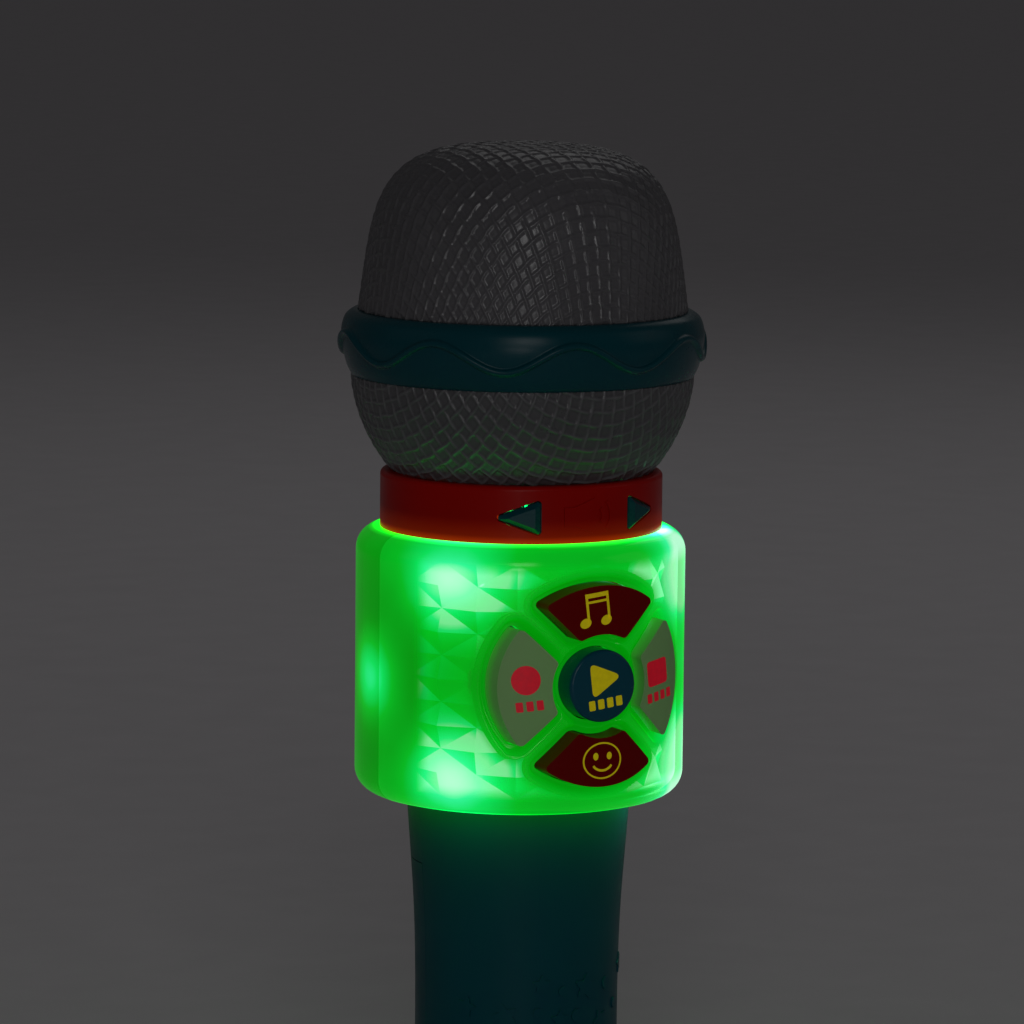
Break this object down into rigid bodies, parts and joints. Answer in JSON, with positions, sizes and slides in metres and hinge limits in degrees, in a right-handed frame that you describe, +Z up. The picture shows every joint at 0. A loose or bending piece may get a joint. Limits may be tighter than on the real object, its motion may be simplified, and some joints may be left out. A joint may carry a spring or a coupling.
{
  "type": "toy microphone",
  "caption": "Toy recording microphone: round mesh head with a wave band, orange collar with volume keys, lit drum body with round keypad, tapered grip.",
  "frame": {"origin": "centre of the flat base, on the surface it stands on", "axes": "+Z up along the microphone towards the mesh head, -Y the side with the buttons, +X to the right as seen from the button side"},
  "size_m": [0.08, 0.08, 0.2407],
  "materials": {
    "grey_mesh_plastic": "silver-grey moulded plastic with a woven-mesh relief, light gloss",
    "teal_plastic": "teal moulded plastic, satin",
    "teal_gloss": "teal moulded plastic, glossy",
    "orange_plastic": "orange-red moulded plastic, satin gloss",
    "milky_shell": "milky translucent plastic, lit green from inside",
    "clear_plastic": "clear faceted light guide",
    "red_plastic": "dark red plastic with a yellow print",
    "white_plastic": "white plastic with a pink-red print",
    "navy_plastic": "dark blue-teal plastic with a yellow print",
    "grey_rubber": "silicone rubber",
    "black_rubber": "soft rubber",
    "green_board": "glass-fibre circuit board with green mask",
    "white_abs": "plain white moulded plastic",
    "black_plastic": "plain black moulded plastic",
    "lamp_lens": "clear diode lens, lit green",
    "steel": "zinc-plated steel",
    "dark_steel": "black-coated steel",
    "ferrite": "ferrite magnet with steel pole",
    "paper": "black paper cone",
    "cell_wrap": "plain cell sleeve",
    "wire_red": "insulated lead",
    "wire_black": "insulated lead",
    "ribbon_grey": "flat ribbon lead"
  },
  "bodies": {
    "main": {"grille_dome": "grey_mesh_plastic", "grille_bowl": "grey_mesh_plastic", "head_band": "teal_gloss", "head_bulkhead": "white_abs", "speaker_frame": "dark_steel", "speaker_magnet": "ferrite", "speaker_screws": "steel", "microphone_bridge": "white_abs", "microphone_boot": "black_rubber", "microphone_capsule": "steel", "bridge_screws": "steel", "neck_collar": "orange_plastic", "volume_board": "green_board", "volume_switches": "black_plastic", "bowl_screws": "steel", "collar_screws": "steel", "light_shell_front": "milky_shell", "light_shell_rear": "milky_shell", "shell_screws": "steel", "light_diffuser": "clear_plastic", "keypad": "grey_rubber", "keypad_board": "green_board", "front_lamps": "lamp_lens", "side_lamps": "lamp_lens", "main_board": "green_board", "main_board_parts": "black_plastic", "inner_chassis": "white_abs", "board_screws": "steel", "neck_screws": "steel", "handle_front": "teal_plastic", "handle_rear": "teal_plastic", "handle_screws": "steel", "handle_base": "teal_plastic", "power_switch_body": "dark_steel", "battery_tray": "black_plastic", "battery_1": "cell_wrap", "battery_2": "cell_wrap", "battery_3": "cell_wrap", "battery_springs": "steel", "battery_contacts": "steel", "battery_lead_red": "wire_red", "battery_lead_black": "wire_black", "switch_leads": "wire_red", "speaker_leads": "wire_black", "microphone_leads": "wire_red", "volume_ribbon": "ribbon_grey", "board_ribbon": "ribbon_grey"},
    "music_button": {"music_button": "red_plastic"},
    "record_button": {"record_button": "white_plastic"},
    "voice_button": {"voice_button": "red_plastic"},
    "stop_button": {"stop_button": "white_plastic"},
    "play_button": {"play_button": "navy_plastic"},
    "volume_down_button": {"volume_down_button": "teal_gloss"},
    "volume_up_button": {"volume_up_button": "teal_gloss"},
    "power_switch_knob": {"power_switch_knob": "black_plastic"},
    "battery_cover": {"battery_cover": "teal_plastic"},
    "battery_cover_screw": {"battery_cover_screw": "steel"},
    "speaker_cone": {"speaker_cone": "paper"}
  },
  "joints": [
    {"name": "music_press", "type": "slide", "parent": "main", "child": "music_button", "axis": [0, 1, 0], "range_m": [0, 0.0012], "stiffness_N_per_m": 300, "springref_m": -0.001, "deforming": ["keypad"]},
    {"name": "record_press", "type": "slide", "parent": "main", "child": "record_button", "axis": [0, 1, 0], "range_m": [0, 0.0012], "stiffness_N_per_m": 300, "springref_m": -0.001, "deforming": ["keypad"]},
    {"name": "voice_press", "type": "slide", "parent": "main", "child": "voice_button", "axis": [0, 1, 0], "range_m": [0, 0.0012], "stiffness_N_per_m": 300, "springref_m": -0.001, "deforming": ["keypad"]},
    {"name": "stop_press", "type": "slide", "parent": "main", "child": "stop_button", "axis": [0, 1, 0], "range_m": [0, 0.0012], "stiffness_N_per_m": 300, "springref_m": -0.001, "deforming": ["keypad"]},
    {"name": "play_press", "type": "slide", "parent": "main", "child": "play_button", "axis": [0, 1, 0], "range_m": [0, 0.0012], "stiffness_N_per_m": 300, "springref_m": -0.001, "deforming": ["keypad"]},
    {"name": "volume_down_press", "type": "slide", "parent": "main", "child": "volume_down_button", "axis": [0.4924, 0.8704, 0], "range_m": [0, 0.001], "stiffness_N_per_m": 300, "springref_m": -0.001},
    {"name": "volume_up_press", "type": "slide", "parent": "main", "child": "volume_up_button", "axis": [-0.4924, 0.8704, 0], "range_m": [0, 0.001], "stiffness_N_per_m": 300, "springref_m": -0.001},
    {"name": "power_switch_slide", "type": "slide", "parent": "main", "child": "power_switch_knob", "axis": [1, 0, 0], "range_m": [-0.0048, 0]},
    {"name": "battery_cover_removal", "type": "slide", "parent": "main", "child": "battery_cover", "axis": [0, 1, 0], "range_m": [0, 0.04]},
    {"name": "battery_cover_screw_turn", "type": "hinge", "parent": "battery_cover", "child": "battery_cover_screw", "pos_m": [0, 0.0099, 0.02], "axis": [0, 1, 0], "continuous": true},
    {"name": "speaker_cone_stroke", "type": "slide", "parent": "main", "child": "speaker_cone", "axis": [0, 0, 1], "range_m": [-0.0004, 0.0004], "stiffness_N_per_m": 400}
  ]
}
